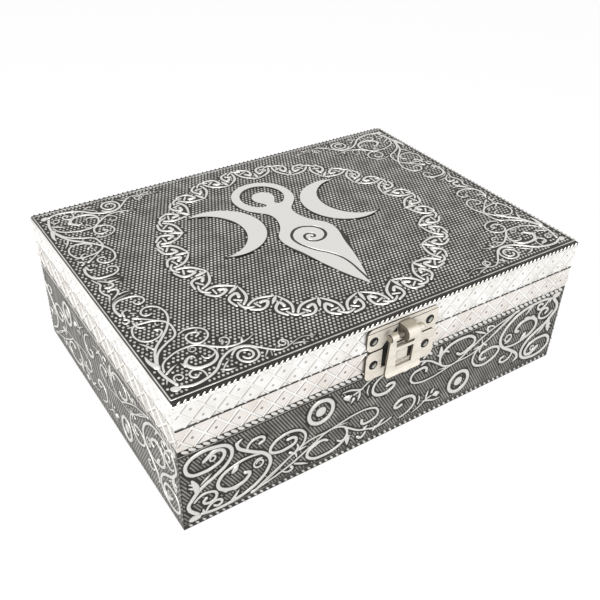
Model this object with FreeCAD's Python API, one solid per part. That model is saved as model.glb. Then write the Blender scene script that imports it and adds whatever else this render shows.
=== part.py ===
"""Lidded keepsake box: wooden boards under embossed sheet metal, a velvet lining, two hinges, a hasp catch.

Millimetres. The origin is the middle of the underside, +X runs along the front to the right,
+Y to the back and +Z up.
"""
import FreeCAD
import Part
import os
from FreeCAD import Vector

# Outside size, over the folded edge of the lid's top sheet
box_length = 176.0
box_width = 128.0
box_height = 58.0
lid_height = 12.0
parting_gap = 0.3

# Layers of the walls, from the outside to the inside
sheet = 0.5
wall = 6.0
lining = 1.0
floor_board = 4.0
lid_board = 5.0
felt = 0.8
felt_inset = 2.0
sheet_lift = 0.3
rim_strip_height = 8.5
edge_fold = 2.2
edge_round = 0.8 * sheet

# Raised emblem in the middle of the lid, scaled to the lid's width
emboss = 0.35
emblem_scale = box_width / 128.0
moon_tip_x = 35.5 * emblem_scale
moon_outer_x = 11.2 * emblem_scale
moon_inner_x = 19.6 * emblem_scale
moon_middle_y = 12.8 * emblem_scale
moon_half_height = 16.4 * emblem_scale
arm_ring_y = 30.0 * emblem_scale
arm_ring_radius = 13.0 * emblem_scale
arm_ring_hole = 9.4 * emblem_scale
head_y = 29.6 * emblem_scale
head_radius = 4.6 * emblem_scale
neck_half_width = 2.2 * emblem_scale
shoulder_half_width = 8.6 * emblem_scale
shoulder_y = 20.0 * emblem_scale
waist_half_width = 4.75 * emblem_scale
waist_y = 12.5 * emblem_scale
hip_half_width = 12.0 * emblem_scale
hip_y = -5.0 * emblem_scale
thigh_half_width = 7.0 * emblem_scale
thigh_y = -25.0 * emblem_scale
toe_y = -44.5 * emblem_scale

# Butt hinges on the back
hinge_end_inset = 38.0
hinge_length = 22.0
leaf_height = 9.0
leaf = 0.8
barrel_radius = 1.6
barrel_clearance = 0.2
hinge_pin_radius = 0.8
hinge_pin_head = 0.5
knuckle_gap = 0.3
running_clearance = 0.05
leaf_nail_inset = 4.0

# Hasp catch on the front
catch_x = -0.5
plate = 0.9
fold_gap = 0.1
parting_inset = 0.2
hasp_plate_width = 31.5
staple_plate_width = 31.0
staple_plate_height = 12.3
plate_corner = 2.4
hasp_nail_spacing = 25.0
hasp_nail_drop = 5.8
staple_nail_spacing = 23.5
staple_nail_drop = 6.2
hasp_sheet = 0.9
hasp_stand = 2.6
hood_radius = 2.9
hood_width = 4.8
hood_drop = 0.9
hasp_slide = 1.5
hasp_eye_radius = 1.6
hasp_pin_radius = 0.9
hasp_pin_head = 0.4
hasp_side_gap = 0.3
hasp_leg = 2.8
hasp_spread = 0.9
hasp_bar = 1.8
hasp_cross_bar = 1.4
hasp_lip_length = 1.6
hasp_lip_angle = 30.0
hasp_corner = 1.2
staple_width = 5.0
staple_height = 5.2
staple_drop = 3.8
staple_rise = 2.2
staple_window_gap = 0.8
staple_side_gap = 1.0
staple_head_gap = 1.3
plate_crease_drop = 1.4
plate_crease_width = 0.3
plate_crease_depth = 0.25
slot_gap = 0.5
hasp_slot_width = 2.1
hasp_slot_height = 4.7
staple_slot_width = 4.1
staple_slot_depth = 8.5

# Nails with low domed heads
nail_radius = 0.6
nail_length = 5.0
nail_point = 1.2
nail_head_radius = 1.25
nail_head_height = 0.5
nail_clearance = 0.05
countersink_depth = 0.5
countersink_gap = 0.65

# Levels and faces that follow from the values above
lid_bottom = box_height - lid_height
rim_top = lid_bottom - parting_gap
lid_board_bottom = box_height - sheet - lid_board
front_face = -(box_width / 2 - sheet)
back_face = box_width / 2 - sheet
board_inset = 2 * sheet
lining_inset = board_inset + wall
floor_top = felt + floor_board
hinge_spacing = box_length - 2 * hinge_end_inset
hinge_y = back_face + barrel_radius + barrel_clearance
hinge_z = rim_top + parting_gap / 2
plate_front = front_face - plate
hasp_plate_top = box_height - edge_fold - fold_gap
hasp_plate_bottom = lid_bottom + parting_inset
staple_plate_top = rim_top - parting_inset
staple_plate_bottom = staple_plate_top - staple_plate_height
hasp_y = plate_front - hasp_stand - hasp_sheet / 2
hasp_z = hasp_plate_top - hood_drop - hood_radius
hasp_x = catch_x - hasp_slide
staple_top = staple_plate_top - staple_drop + staple_height / 2
staple_bottom = staple_top - staple_height
window_bottom = staple_bottom - staple_window_gap
window_top = staple_top + staple_head_gap
hasp_bottom = window_bottom - hasp_bar

sides = ("front", "back", "left", "right")
along_x = Vector(1, 0, 0)


def slab(x_low, x_high, y_low, y_high, z_low, z_high):
    """A block between the given limits."""
    corner = Vector(x_low, y_low, z_low)
    return Part.makeBox(x_high - x_low, y_high - y_low, z_high - z_low, corner)


def rod(radius, x_low, x_high, y, z):
    """A round bar along X."""
    return Part.makeCylinder(radius, x_high - x_low, Vector(x_low, y, z), along_x)


def side_slab(side, inset, depth, z_low, z_high):
    """A flat piece along one side: front and back run the full length, left and right fit between them."""
    half_x = box_length / 2 - inset
    half_y = box_width / 2 - inset
    if side == "front":
        return slab(-half_x, half_x, -half_y, depth - half_y, z_low, z_high)
    if side == "back":
        return slab(-half_x, half_x, half_y - depth, half_y, z_low, z_high)
    half_y = half_y - depth
    if side == "left":
        return slab(-half_x, depth - half_x, -half_y, half_y, z_low, z_high)
    return slab(half_x - depth, half_x, -half_y, half_y, z_low, z_high)


def level_slab(inset, z_low, z_high):
    """A flat piece that fills the outline at the given inset."""
    half_x = box_length / 2 - inset
    half_y = box_width / 2 - inset
    return slab(-half_x, half_x, -half_y, half_y, z_low, z_high)


def merge(shapes):
    """One solid out of touching ones."""
    return shapes[0].multiFuse(shapes[1:]).removeSplitter()


def edge_strip(side, z_low, z_high, lip_low):
    """An L-shaped strip: a face outside and a lip over the wood's edge, the long lips filling the corners."""
    face = side_slab(side, sheet, sheet, z_low, z_high)
    lip = side_slab(side, sheet, sheet + wall, lip_low, lip_low + sheet)
    strip = merge([face, lip])
    if side in ("left", "right"):
        ends = ("front", "back")
        strip = strip.cut([side_slab(end, sheet, sheet + wall, lip_low, lip_low + sheet) for end in ends])
    return strip


def rounded_plate(x_middle, width, z_low, z_high, radius, y_back, y_front):
    """An upright plate with rounded corners, its front towards -Y."""
    block = slab(x_middle - width / 2, x_middle + width / 2, y_front, y_back, z_low, z_high)
    corners = [edge for edge in block.Edges if abs(edge.tangentAt(edge.FirstParameter).y) > 0.9]
    return block.makeFillet(radius, corners)


def nail(x, seat, z, outward):
    """A nail driven along Y: its head sits on the plane y = seat and faces outward, -1 front or 1 back."""
    head = Part.makeCylinder(nail_head_radius, nail_head_height)
    top_edge = [edge for edge in head.Edges if edge.BoundBox.ZMin > nail_head_height / 2]
    head = head.makeFillet(0.8 * nail_head_height, top_edge)
    straight = nail_length - nail_point
    shank = Part.makeCylinder(nail_radius, straight, Vector(0, 0, -straight))
    point = Part.makeCone(0.1 * nail_radius, nail_radius, nail_point, Vector(0, 0, -nail_length))
    body = merge([head, shank, point])
    body.rotate(Vector(0, 0, 0), along_x, -90 * outward)
    body.translate(Vector(x, seat, z))
    return body


def nail_hole(x, seat, z, outward):
    """Room for a nail's shank, open towards its head."""
    depth = nail_length + nail_clearance
    start = Vector(x, seat + outward, z)
    return Part.makeCylinder(nail_radius + nail_clearance, depth + 1, start, Vector(0, -outward, 0))


def countersink(x, z):
    """The recess around a nail's head in a front plate; the nail sits low and to the right in it."""
    radius = nail_head_radius + countersink_gap
    offset = 0.6 * countersink_gap
    start = Vector(x - offset, plate_front + countersink_depth, z + offset)
    return Part.makeCylinder(radius, 2 * countersink_depth, start, Vector(0, -1, 0))


def save(name, shape):
    """Writes one node."""
    shape.exportStep("parts/" + name + ".step")


# Places of the nails: (x, seat, z, outward) for each plate or leaf
catch_seat = plate_front + countersink_depth
hasp_nail_z = hasp_plate_top - hasp_nail_drop
staple_nail_z = staple_plate_top - staple_nail_drop
leaf_middle = (barrel_radius + knuckle_gap + leaf_height) / 2
leaf_seat = back_face + leaf
hasp_plate_spots = []
staple_plate_spots = []
lid_leaf_spots = []
body_leaf_spots = []
for sign in (-1, 1):
    hasp_plate_spots.append((catch_x + sign * hasp_nail_spacing / 2, catch_seat, hasp_nail_z, -1))
    staple_plate_spots.append((catch_x + sign * staple_nail_spacing / 2, catch_seat, staple_nail_z, -1))
    for hinge_x in (-hinge_spacing / 2, hinge_spacing / 2):
        leaf_nail_x = hinge_x + sign * (hinge_length / 2 - leaf_nail_inset)
        lid_leaf_spots.append((leaf_nail_x, leaf_seat, hinge_z + leaf_middle, 1))
        body_leaf_spots.append((leaf_nail_x, leaf_seat, hinge_z - leaf_middle, 1))


def drilled(shape, spots):
    """The shape with holes for the nails at the given places."""
    return shape.cut([nail_hole(*spot) for spot in spots])


os.makedirs("parts", exist_ok=True)

# Wooden body, its sheet metal and its lining
body_spots = {"front": staple_plate_spots, "back": body_leaf_spots, "left": [], "right": []}
for side in sides:
    board = side_slab(side, board_inset, wall, felt, rim_top - sheet)
    panel = side_slab(side, sheet, sheet, sheet_lift, rim_top - rim_strip_height)
    strip = edge_strip(side, rim_top - rim_strip_height, rim_top, rim_top - sheet)
    spots = body_spots[side]
    if spots:
        board = drilled(board, spots)
        strip = drilled(strip, spots)
    save(side + "_board", board)
    save(side + "_panel_sheet", panel)
    save(side + "_rim_strip", strip)
    save(side + "_lining", side_slab(side, lining_inset, lining, floor_top + lining, rim_top - sheet))
save("floor_board", level_slab(lining_inset, felt, floor_top))
save("floor_lining", level_slab(lining_inset, floor_top, floor_top + lining))
save("base_felt", level_slab(felt_inset, 0, felt))

# Wooden lid, its side strips and its lining
lid_spots = {"front": hasp_plate_spots, "back": lid_leaf_spots, "left": [], "right": []}
for side in sides:
    rail = side_slab(side, board_inset, wall, lid_bottom + sheet, lid_board_bottom)
    strip = edge_strip(side, lid_bottom, box_height - sheet, lid_bottom)
    spots = lid_spots[side]
    if spots:
        rail = drilled(rail, spots)
        strip = drilled(strip, spots)
    save("lid_" + side + "_rail", rail)
    save("lid_" + side + "_strip", strip)
    rail_lining = side_slab(side, lining_inset, lining, lid_bottom + sheet, lid_board_bottom - lining)
    save("lid_" + side + "_lining", rail_lining)
save("lid_board", level_slab(board_inset, lid_board_bottom, box_height - sheet))
save("lid_lining", level_slab(lining_inset, lid_board_bottom - lining, lid_board_bottom))

# Top sheet of the lid, folded down over the edges
tray = level_slab(0, box_height - edge_fold, box_height)
outer_edges = []
for edge in tray.Edges:
    upright = edge.BoundBox.ZLength > edge_fold / 2
    if upright or edge.BoundBox.ZMin > box_height - edge_fold / 2:
        outer_edges.append(edge)
tray = tray.makeFillet(edge_round, outer_edges)
tray = tray.cut(level_slab(sheet, box_height - edge_fold - 1, box_height - sheet))


def raised(edges):
    """A pad of the emblem: the closed outline, standing on the top sheet."""
    wire = Part.Wire(Part.__sortEdges__(edges))
    face = Part.Face(wire)
    face.translate(Vector(0, 0, box_height - sheet / 2))
    return face.extrude(Vector(0, 0, sheet / 2 + emboss))


pads = []
for sign in (-1, 1):
    tip_back = Vector(sign * moon_tip_x, moon_middle_y + moon_half_height, 0)
    tip_front = Vector(sign * moon_tip_x, moon_middle_y - moon_half_height, 0)
    outer = Part.Arc(tip_back, Vector(sign * moon_outer_x, moon_middle_y, 0), tip_front)
    inner = Part.Arc(tip_back, Vector(sign * moon_inner_x, moon_middle_y, 0), tip_front)
    pads.append(raised([outer.toShape(), inner.toShape()]))
half_outline = [
    (shoulder_half_width, shoulder_y),
    (waist_half_width, waist_y),
    (hip_half_width, hip_y),
    (thigh_half_width, thigh_y),
    (0, toe_y),
]
right_points = [Vector(x, y, 0) for x, y in half_outline]
left_points = [Vector(-x, y, 0) for x, y in half_outline]
right_curve = Part.BSplineCurve()
right_curve.interpolate(right_points)
left_curve = Part.BSplineCurve()
left_curve.interpolate(left_points)
shoulder_line = Part.LineSegment(left_points[0], right_points[0])
torso = raised([right_curve.toShape(), left_curve.toShape(), shoulder_line.toShape()])
pad_low = box_height - sheet / 2
pad_height = sheet / 2 + emboss
arms = Part.makeCylinder(arm_ring_radius, pad_height, Vector(0, arm_ring_y, pad_low))
arms = arms.cut(Part.makeCylinder(arm_ring_hole, pad_height, Vector(0, arm_ring_y, pad_low)))
head = Part.makeCylinder(head_radius, pad_height, Vector(0, head_y, pad_low))
neck_low = shoulder_y - head_radius / 2
neck = slab(-neck_half_width, neck_half_width, neck_low, head_y, pad_low, pad_low + pad_height)
pads = pads + [torso, arms, head, neck]
save("lid_top_sheet", merge([tray] + pads))

# Butt hinges: the body leaf has the outer knuckles and the lid leaf the middle one
knuckle = (hinge_length - 2 * knuckle_gap) / 3
for hinge_name, hinge_x in (("left", -hinge_spacing / 2), ("right", hinge_spacing / 2)):
    start = hinge_x - hinge_length / 2
    end = hinge_x + hinge_length / 2
    bore = rod(hinge_pin_radius + running_clearance, start - 1, end + 1, hinge_y, hinge_z)
    knuckle_starts = [start + index * (knuckle + knuckle_gap) for index in range(3)]
    for owner, rise, own_starts, spots in (
        ("body", -1, knuckle_starts[::2], body_leaf_spots),
        ("lid", 1, knuckle_starts[1:2], lid_leaf_spots),
    ):
        near = hinge_z + rise * (barrel_radius + knuckle_gap)
        far = hinge_z + rise * leaf_height
        pieces = [slab(start, end, back_face, leaf_seat, min(near, far), max(near, far))]
        for knuckle_start in own_starts:
            knuckle_end = knuckle_start + knuckle
            low = min(near, hinge_z)
            high = max(near, hinge_z)
            pieces.append(slab(knuckle_start, knuckle_end, back_face, leaf_seat, low, high))
            pieces.append(rod(barrel_radius, knuckle_start, knuckle_end, hinge_y, hinge_z))
        save(hinge_name + "_hinge_" + owner + "_leaf", drilled(merge(pieces).cut(bore), spots))
    head_radius_x = (hinge_pin_radius + barrel_radius) / 2
    gap = running_clearance
    pin_pieces = [
        rod(hinge_pin_radius, start - gap, end + gap, hinge_y, hinge_z),
        rod(head_radius_x, start - gap - hinge_pin_head, start - gap, hinge_y, hinge_z),
        rod(head_radius_x, end + gap, end + gap + hinge_pin_head, hinge_y, hinge_z),
    ]
    save(hinge_name + "_hinge_pin", merge(pin_pieces))


def side_slots(width, z_low, z_high):
    """Slots through a plate beside the middle of the hasp, where the metal was cut to be bent out."""
    inner = staple_width / 2 + slot_gap
    slots = []
    for start in (hasp_x - inner - width, hasp_x + inner):
        slots.append(slab(start, start + width, plate_front - 1, front_face + 1, z_low, z_high))
    return slots


# Plates of the catch: the hasp's plate is rolled into a hood over the pin, the other has a bent-out staple
hasp_plate = rounded_plate(
    catch_x, hasp_plate_width, hasp_plate_bottom, hasp_plate_top, plate_corner, front_face, plate_front
)
crease_top = hasp_plate_top - plate_crease_drop
hasp_plate = hasp_plate.cut(slab(
    catch_x - hasp_plate_width,
    catch_x + hasp_plate_width,
    plate_front - 1,
    plate_front + plate_crease_depth,
    crease_top - plate_crease_width,
    crease_top,
))
hasp_plate = hasp_plate.cut(
    side_slots(hasp_slot_width, hasp_plate_bottom - 1, hasp_plate_bottom + hasp_slot_height)
)
hood_left = catch_x - hood_width / 2
hood_right = catch_x + hood_width / 2
hood_web = slab(hood_left, hood_right, hasp_y, front_face, hasp_z, hasp_z + hood_radius)
hood = rod(hood_radius, hood_left, hood_right, hasp_y, hasp_z)
half_inner = hood_width / 2 + hasp_slide + hasp_side_gap
half_top = half_inner + hasp_leg
half_bottom = half_top + hasp_spread
eye_left = hasp_x - half_top
eye_right = hasp_x + half_top
pin_hole = rod(hasp_pin_radius + running_clearance, eye_left - 1, eye_right + 1, hasp_y, hasp_z)
hasp_plate = merge([hasp_plate, hood_web, hood]).cut(pin_hole)
hasp_plate = hasp_plate.cut([countersink(x, z) for x, seat, z, outward in hasp_plate_spots])
save("hasp_plate", drilled(hasp_plate, hasp_plate_spots))

staple_plate = rounded_plate(
    catch_x, staple_plate_width, staple_plate_bottom, staple_plate_top, plate_corner, front_face, plate_front
)
staple_plate = staple_plate.cut(
    side_slots(staple_slot_width, staple_plate_top - staple_slot_depth, staple_plate_top + 1)
)
staple_left = hasp_x - staple_width / 2
staple_right = hasp_x + staple_width / 2
staple = slab(staple_left, staple_right, plate_front - staple_rise, front_face, staple_bottom, staple_top)
bend_edges = []
for edge in staple.Edges:
    if edge.BoundBox.XLength > staple_width / 2 and edge.BoundBox.YMax < plate_front:
        bend_edges.append(edge)
staple = staple.makeFillet(1.1 * plate, bend_edges)
staple_eye = slab(
    staple_left - 1,
    staple_right + 1,
    plate_front - staple_rise + plate,
    plate_front,
    staple_bottom + plate,
    staple_top - plate,
)
staple_plate = merge([staple_plate, staple.cut(staple_eye)])
staple_plate = staple_plate.cut([countersink(x, z) for x, seat, z, outward in staple_plate_spots])
save("staple_plate", drilled(staple_plate, staple_plate_spots))


def hasp_outline(half_top, half_bottom, z_low, y_low, y_high):
    """A flat piece of the hasp, straight beside the pin's heads and spreading below them down to z_low."""
    corners = [
        Vector(hasp_x - half_top, y_low, hasp_z),
        Vector(hasp_x + half_top, y_low, hasp_z),
        Vector(hasp_x + half_top, y_low, hasp_z - hasp_eye_radius),
        Vector(hasp_x + half_bottom, y_low, z_low),
        Vector(hasp_x - half_bottom, y_low, z_low),
        Vector(hasp_x - half_top, y_low, hasp_z - hasp_eye_radius),
    ]
    face = Part.Face(Part.makePolygon(corners + corners[:1]))
    return face.extrude(Vector(0, y_high - y_low, 0))


# Hasp: two legs that end in eyes beside the hood, a bar across them, one below and a lip turned outwards
hasp_back = hasp_y + hasp_sheet / 2
hasp_front = hasp_y - hasp_sheet / 2
frame = hasp_outline(half_top, half_bottom, hasp_bottom, hasp_front, hasp_back)
lip = rounded_plate(
    hasp_x,
    2 * half_bottom,
    hasp_bottom - hasp_lip_length,
    hasp_bottom + 2 * hasp_corner,
    hasp_corner,
    hasp_back,
    hasp_front,
)
below = slab(
    hasp_x - half_bottom,
    hasp_x + half_bottom,
    hasp_front,
    hasp_back,
    hasp_bottom - hasp_lip_length,
    hasp_bottom,
)
lip = lip.common(below)
lip.rotate(Vector(0, hasp_front, hasp_bottom), along_x, -hasp_lip_angle)
bend = rod(hasp_sheet, hasp_x - half_bottom, hasp_x + half_bottom, hasp_front, hasp_bottom)
bend = bend.common(below)
eyes = [
    rod(hasp_eye_radius, eye_left, eye_left + hasp_leg, hasp_y, hasp_z),
    rod(hasp_eye_radius, eye_right - hasp_leg, eye_right, hasp_y, hasp_z),
]
window_half = staple_width / 2 + staple_side_gap
window = hasp_outline(half_inner, window_half, window_bottom, hasp_front - 1, hasp_back + 1)
cross_bar = frame.common(slab(
    eye_left,
    eye_right,
    hasp_front,
    hasp_back,
    window_top,
    window_top + hasp_cross_bar,
))
hasp = merge([frame.cut(window), cross_bar, bend, lip] + eyes).cut(pin_hole)
save("hasp", hasp)

hasp_head_radius = (hasp_pin_radius + hasp_eye_radius) / 2
pin_left = eye_left - running_clearance
pin_right = eye_right + running_clearance
hasp_pin = merge([
    rod(hasp_pin_radius, pin_left, pin_right, hasp_y, hasp_z),
    rod(hasp_head_radius, pin_left - hasp_pin_head, pin_left, hasp_y, hasp_z),
    rod(hasp_head_radius, pin_right, pin_right + hasp_pin_head, hasp_y, hasp_z),
])
save("hasp_pin", hasp_pin)

# Nails, one group for each kind of place
nail_groups = {
    "hasp_plate_nails": hasp_plate_spots,
    "staple_plate_nails": staple_plate_spots,
    "hinge_lid_nails": lid_leaf_spots,
    "hinge_body_nails": body_leaf_spots,
}
for group_name, spots in nail_groups.items():
    save(group_name, Part.makeCompound([nail(*spot) for spot in spots]))
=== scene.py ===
import math

import bpy
import numpy as np
from mathutils import Matrix, Vector
from mathutils.bvhtree import BVHTree

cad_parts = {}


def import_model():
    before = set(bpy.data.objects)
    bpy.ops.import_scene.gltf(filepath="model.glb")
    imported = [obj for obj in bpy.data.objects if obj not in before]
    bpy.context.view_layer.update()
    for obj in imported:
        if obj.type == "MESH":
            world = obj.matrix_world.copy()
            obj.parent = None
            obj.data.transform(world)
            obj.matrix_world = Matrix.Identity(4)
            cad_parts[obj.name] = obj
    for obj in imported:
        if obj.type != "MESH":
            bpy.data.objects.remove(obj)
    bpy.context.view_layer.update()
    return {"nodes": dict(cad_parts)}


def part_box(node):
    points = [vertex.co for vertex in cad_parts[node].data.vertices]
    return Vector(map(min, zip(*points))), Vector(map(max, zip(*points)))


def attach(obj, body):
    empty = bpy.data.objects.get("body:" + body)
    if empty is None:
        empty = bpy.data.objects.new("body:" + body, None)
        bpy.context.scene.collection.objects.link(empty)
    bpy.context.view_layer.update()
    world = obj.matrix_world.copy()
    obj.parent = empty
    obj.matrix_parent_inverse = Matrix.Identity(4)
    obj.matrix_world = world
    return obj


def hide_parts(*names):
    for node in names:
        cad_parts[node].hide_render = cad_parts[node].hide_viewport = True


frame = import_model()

# A keepsake box: wooden boards under embossed white-metal sheet, a nickelled hasp catch, a velvet lining.
# Reliefs are drawn flat, in millimetres, and then set on their face of the box in metres.

MM = 0.001

# Faces of the box, read from the frame
ACROSS = {"front": (1, 0, 0), "right": (0, 1, 0), "back": (-1, 0, 0), "left": (0, -1, 0)}
PAD_RISE = 0.35 * MM
LID_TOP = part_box("lid_top_sheet")[1].z - PAD_RISE
HALF_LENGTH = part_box("lid_top_sheet")[1].x / MM
HALF_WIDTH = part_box("lid_top_sheet")[1].y / MM
HALF_SPAN = {"front": HALF_LENGTH, "back": HALF_LENGTH, "left": HALF_WIDTH, "right": HALF_WIDTH}
PANEL_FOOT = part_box("front_panel_sheet")[0].z / MM
PANEL_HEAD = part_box("front_panel_sheet")[1].z / MM
RIM_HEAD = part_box("front_rim_strip")[1].z / MM
LID_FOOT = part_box("lid_front_strip")[0].z / MM
FOLD_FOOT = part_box("lid_top_sheet")[0].z / MM

# Embossing, in millimetres
STROKE_RISE = 0.7  # height of a stroke over half its width
CAP_REACH, CAP_WIDTH = 0.45, 0.25  # of a stroke's rounded end, as shares of its width
DOT_PITCH = 1.56
DOT_ROW = 1.506
DOT_RADIUS = 0.64
DOT_TOP = 0.42
DOT_RISE = 0.2
BAR_PITCH, BAR_LEAN = 1.2, -0.612  # of the bars on the long sides
SHORT_BAR_PITCH, SHORT_BAR_LEAN = 1.45, 0.612  # and on the short sides
BAR_ROW = 1.02
BAR_WIDTH = 0.78
BAR_RISE = 0.13
BAR_CREST = 0.55  # share of a bar's width at its top
CLEARANCE = 0.44  # least distance from the middle of a bump to a stroke
BAR_CLEARANCE = 0.62  # and from the middle of a bar of the hatching on the long sides
CLEARANCE_RISE = 0.2  # height at which that distance is taken
ROPE_PITCH = 2.5  # of the beads along the panels
FOLD_PITCH = 2.1  # and along the lid's fold
LATTICE_PITCH = 8.28
LATTICE_START, LATTICE_END = 5.3, 1.2  # from the ends of a band to its first and last punched dot
RIB_WIDTH, RIB_RISE = 0.95, 0.5
SHADE_LINE_WIDTH, SHADE_LINE_RISE, SHADE_LINE_SHIFT = 1.25, 0.06, 0.26  # of the painted shadow line beside a rib
STUD_RADIUS, STUD_TOP, STUD_RISE = 0.6, 0.35, 0.06
STUD_MARGIN = 1  # least distance from a punched dot to the edges of its band
SHORTEST_RIB = 0.12  # share of a whole one, below which a rib is left out
RELIEF_TOP = 0.28  # height at which the metal is rubbed bright


def only(piece):
    """Makes one object the selected and active one."""
    bpy.ops.object.select_all(action="DESELECT")
    piece.select_set(True)
    bpy.context.view_layer.objects.active = piece
    return piece


def pick(piece, chosen):
    """Selects corners of a piece, given a true or false for each, and leaves it in edit mode."""
    only(piece)
    bpy.ops.object.mode_set(mode="EDIT")
    bpy.ops.mesh.select_mode(type="VERT")
    bpy.ops.mesh.select_all(action="DESELECT")
    bpy.ops.object.mode_set(mode="OBJECT")
    piece.data.vertices.foreach_set("select", chosen)
    bpy.ops.object.mode_set(mode="EDIT")


def join(parts):
    only(parts[0])
    for part in parts[1:]:
        part.select_set(True)
    if len(parts) > 1:
        bpy.ops.object.join()
    return bpy.context.object


def copy_of(piece):
    twin = piece.copy()
    twin.data = piece.data.copy()
    bpy.context.collection.objects.link(twin)
    return twin


def apply_modifier(piece, kind, **settings):
    modifier = only(piece).modifiers.new(kind.lower(), kind)
    for key, value in settings.items():
        setattr(modifier, key, value)
    bpy.ops.object.modifier_apply(modifier=modifier.name)


def repeat(piece, count, step):
    apply_modifier(
        piece, "ARRAY", count=count, use_relative_offset=False, use_constant_offset=True,
        constant_offset_displace=step,
    )


def face_place(origin, across, up):
    """Takes a flat relief in millimetres to a face that across and up lie in."""
    across, up = Vector(across), Vector(up)
    place = Matrix((across, up, across.cross(up))).transposed().to_4x4()
    place.translation = origin
    return place @ Matrix.Scale(MM, 4)


def side_place(side, node):
    """The place of a relief on a node's outer face at one side, from the side's middle and the floor."""
    across, up = Vector(ACROSS[side]), Vector((0, 0, 1))
    out = across.cross(up)
    reach = max(out.dot(corner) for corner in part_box(node))
    return face_place(out * reach, across, up)


TOP_PLACE = face_place((0, 0, LID_TOP), (1, 0, 0), (0, 1, 0))


def settle(piece, name, place, body, finish, top=RELIEF_TOP, smooth=50):
    """Sets a flat relief on its face, marks how proud its points stand, and gives it finish and body."""
    piece.name = piece.data.name = name
    heights = [min(1, max(0, corner.co.z / top)) for corner in piece.data.vertices]
    piece.data.attributes.new("proud", "FLOAT", "POINT").data.foreach_set("value", heights)
    only(piece).matrix_world = place
    bpy.ops.object.transform_apply()
    bpy.ops.object.shade_smooth_by_angle(angle=math.radians(smooth))
    piece.data.materials.clear()
    piece.data.materials.append(finish)
    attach(piece, body)
    return piece


# Drawing

def curl(centre, radius, start, turns, inner=0.3):
    """Points of a spiral that winds in; start is in degrees, and positive turns go counter-clockwise."""
    steps = max(6, round(abs(turns) * 9))
    points = []
    for step in range(steps + 1):
        share = step / steps
        angle = math.radians(start + 360 * turns * share)
        reach = radius * (1 - (1 - inner) * share)
        points.append((centre[0] + reach * math.cos(angle), centre[1] + reach * math.sin(angle)))
    return points


def mesh_of(drawing):
    """Turns a curve into a mesh, all selected and in edit mode."""
    piece = bpy.data.objects.new(drawing.name, drawing)
    bpy.context.collection.objects.link(piece)
    only(piece)
    bpy.ops.object.convert(target="MESH")
    bpy.ops.object.mode_set(mode="EDIT")
    bpy.ops.mesh.select_all(action="SELECT")
    bpy.ops.mesh.remove_doubles(threshold=1e-4)


def finished():
    """Turns the faces of the mesh in edit mode outwards and leaves edit mode."""
    bpy.ops.mesh.normals_make_consistent(inside=False)
    bpy.ops.object.mode_set(mode="OBJECT")
    return bpy.context.object


def emboss(strokes, rise=STROKE_RISE, smoothness=4):
    """Draws strokes as rounded ribs: each has points, and widths at its start, middle and end."""
    drawing = bpy.data.curves.new("strokes", "CURVE")
    drawing.dimensions = "3D"
    drawing.bevel_depth = 0.5
    drawing.bevel_resolution = 2
    drawing.resolution_u = smoothness
    drawing.use_fill_caps = True
    for points, widths in strokes:
        line = [Vector((*point, 0)) if len(point) == 2 else Vector(point) for point in points]
        size = list(np.interp(np.linspace(0, 1, len(line)), (0, 0.5, 1), widths))
        closed = (line[0] - line[-1]).length < 1e-6
        if closed:
            line, size = line[:-1], size[:-1]
        else:
            first = line[0] + (line[0] - line[1]).normalized() * CAP_REACH * size[0]
            last = line[-1] + (line[-1] - line[-2]).normalized() * CAP_REACH * size[-1]
            line = [first, *line, last]
            size = [CAP_WIDTH * size[0], *size, CAP_WIDTH * size[-1]]
        spline = drawing.splines.new("BEZIER")
        spline.bezier_points.add(len(line) - 1)
        spline.use_cyclic_u = closed
        for knot, place, width in zip(spline.bezier_points, line, size):
            knot.co = place
            knot.radius = width
            knot.handle_left_type = knot.handle_right_type = "AUTO"
    mesh_of(drawing)
    bpy.ops.transform.resize(value=(1, 1, rise), center_override=(0, 0, 0))
    return finished()


def boss(place, length, width, tilt=0.0, rise=0.42, segments=20, rings=10):
    """A low rounded boss; tilt is in degrees."""
    bpy.ops.object.select_all(action="DESELECT")
    bpy.ops.mesh.primitive_uv_sphere_add(
        segments=segments, ring_count=rings, radius=0.5, location=(0, 0, 0),
    )
    bpy.ops.object.mode_set(mode="EDIT")
    bpy.ops.transform.resize(value=(length, width, 2 * rise), center_override=(0, 0, 0))
    bpy.ops.transform.rotate(value=-math.radians(tilt), orient_axis="Z", center_override=(0, 0, 0))
    bpy.ops.mesh.bisect(plane_co=(0, 0, 0), plane_no=(0, 0, 1), use_fill=True, clear_inner=True)
    bpy.ops.mesh.select_all(action="SELECT")
    bpy.ops.transform.translate(value=(*place, 0))
    bpy.ops.object.mode_set(mode="OBJECT")
    return bpy.context.object


def plate(outlines, thickness, sharp=()):
    """A flat plate with its foot at height 0, inside an outline and outside any further ones."""
    drawing = bpy.data.curves.new("plate", "CURVE")
    drawing.dimensions = "2D"
    drawing.fill_mode = "BOTH"
    drawing.extrude = thickness / 2
    drawing.resolution_u = 6
    for outline in outlines:
        spline = drawing.splines.new("BEZIER")
        spline.bezier_points.add(len(outline) - 1)
        spline.use_cyclic_u = True
        for knot, place in zip(spline.bezier_points, outline):
            knot.co = (*place, 0)
            knot.handle_left_type = knot.handle_right_type = "VECTOR" if place in sharp else "AUTO"
    mesh_of(drawing)
    bpy.ops.transform.translate(value=(0, 0, thickness / 2))
    return finished()


def stud(vertices, radius, top, rise, place):
    """A low bump with a flat top."""
    bpy.ops.object.select_all(action="DESELECT")
    bpy.ops.mesh.primitive_cone_add(
        vertices=vertices, radius1=radius, radius2=top, depth=rise, location=(*place, rise / 2),
    )
    bpy.ops.object.transform_apply()
    return bpy.context.object


# Grounds: one bump, repeated over the face, and taken away where strokes stand

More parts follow.
